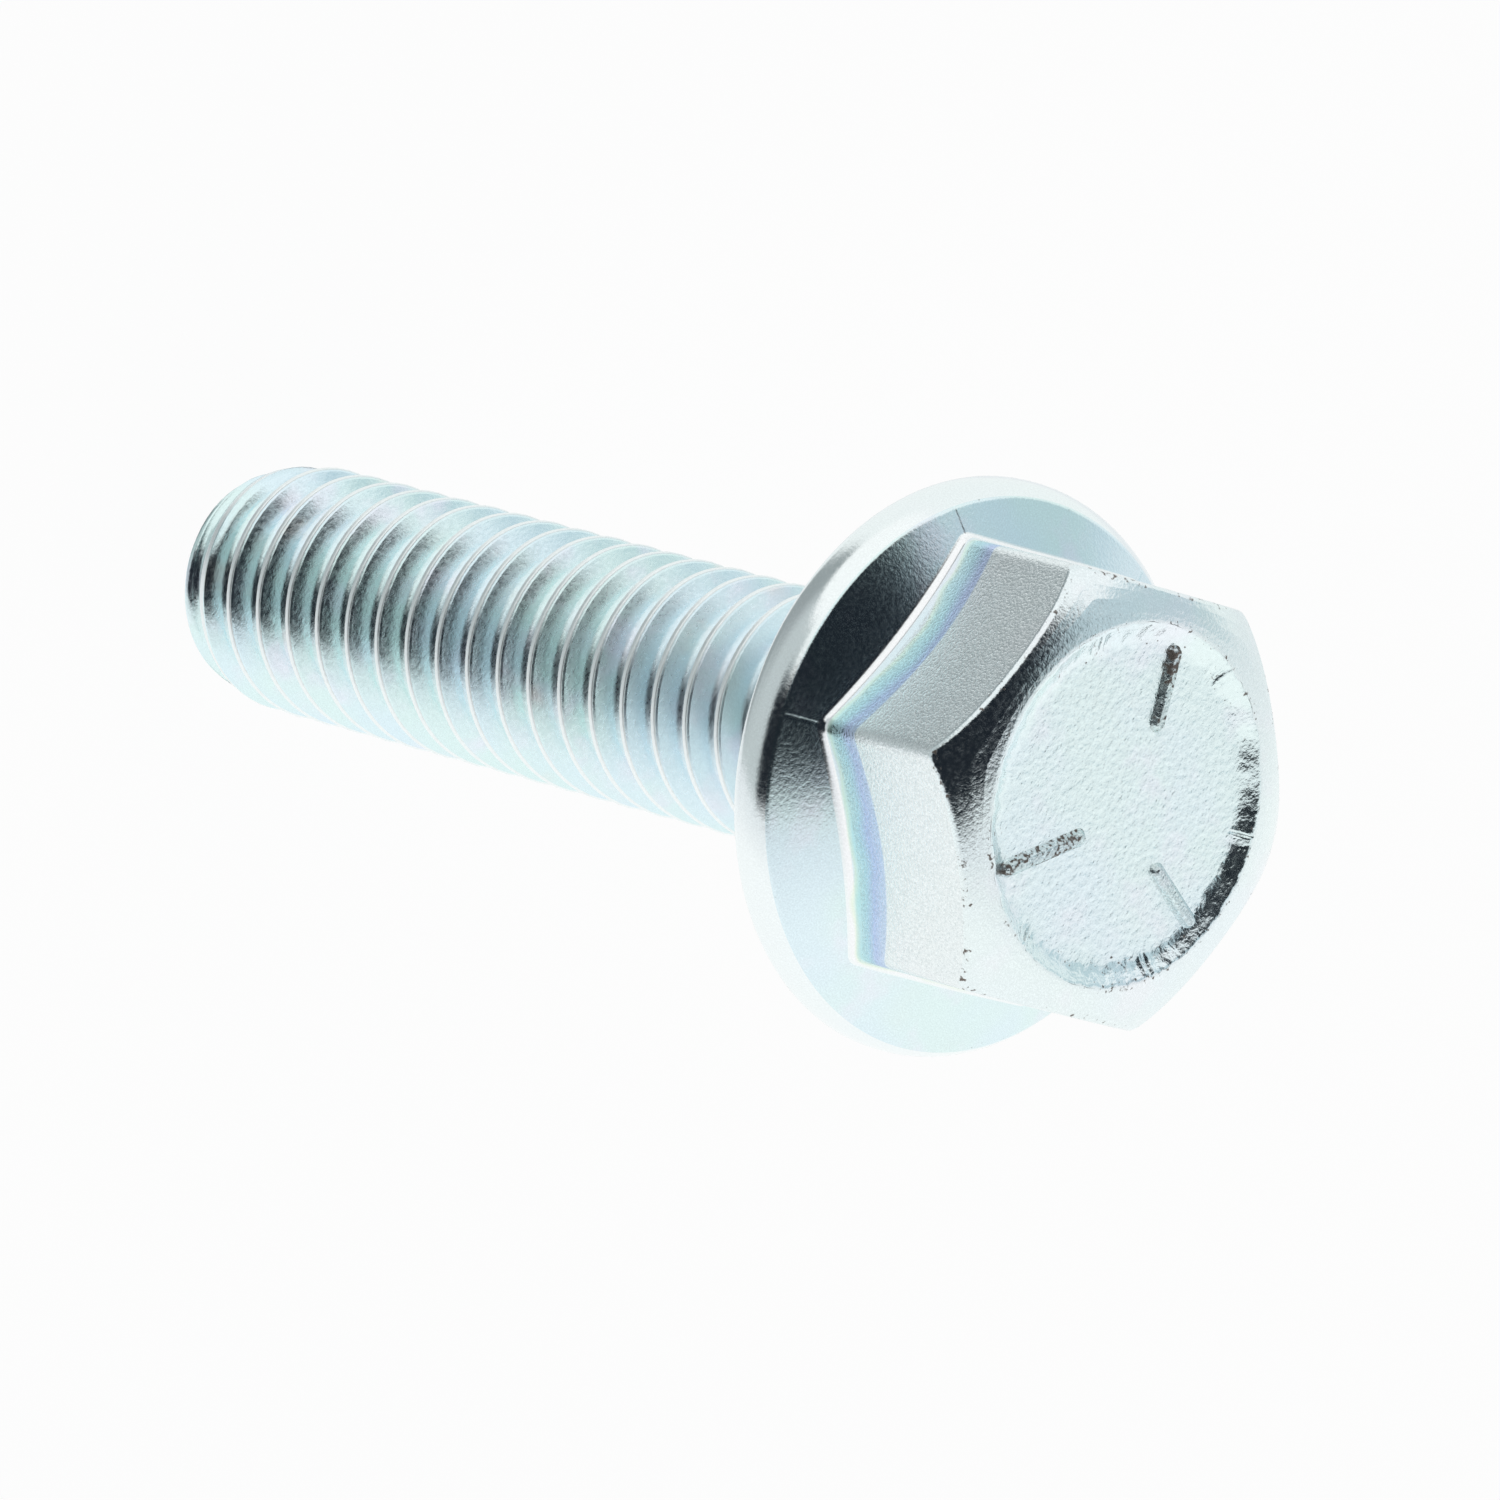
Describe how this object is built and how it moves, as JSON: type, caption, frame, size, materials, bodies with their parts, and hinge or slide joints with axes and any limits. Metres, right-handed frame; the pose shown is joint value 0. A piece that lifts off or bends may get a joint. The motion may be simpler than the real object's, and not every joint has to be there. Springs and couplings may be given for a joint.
{
  "type": "flange bolt",
  "caption": "Hexagon-head flange bolt with a coarse thread over its whole shank, zinc-plated steel.",
  "frame": {"origin": "centre of the bearing face under the flange", "axes": "+Z along the bolt's axis, from the threaded end towards the head; +X through a corner of the hexagon"},
  "size_m": [0.0172, 0.0172, 0.0393],
  "materials": {
    "zinc_plated_steel": "bright zinc plating with a pale blue passivate"
  },
  "bodies": {
    "root": {"flange_bolt": "zinc_plated_steel"}
  },
  "joints": []
}
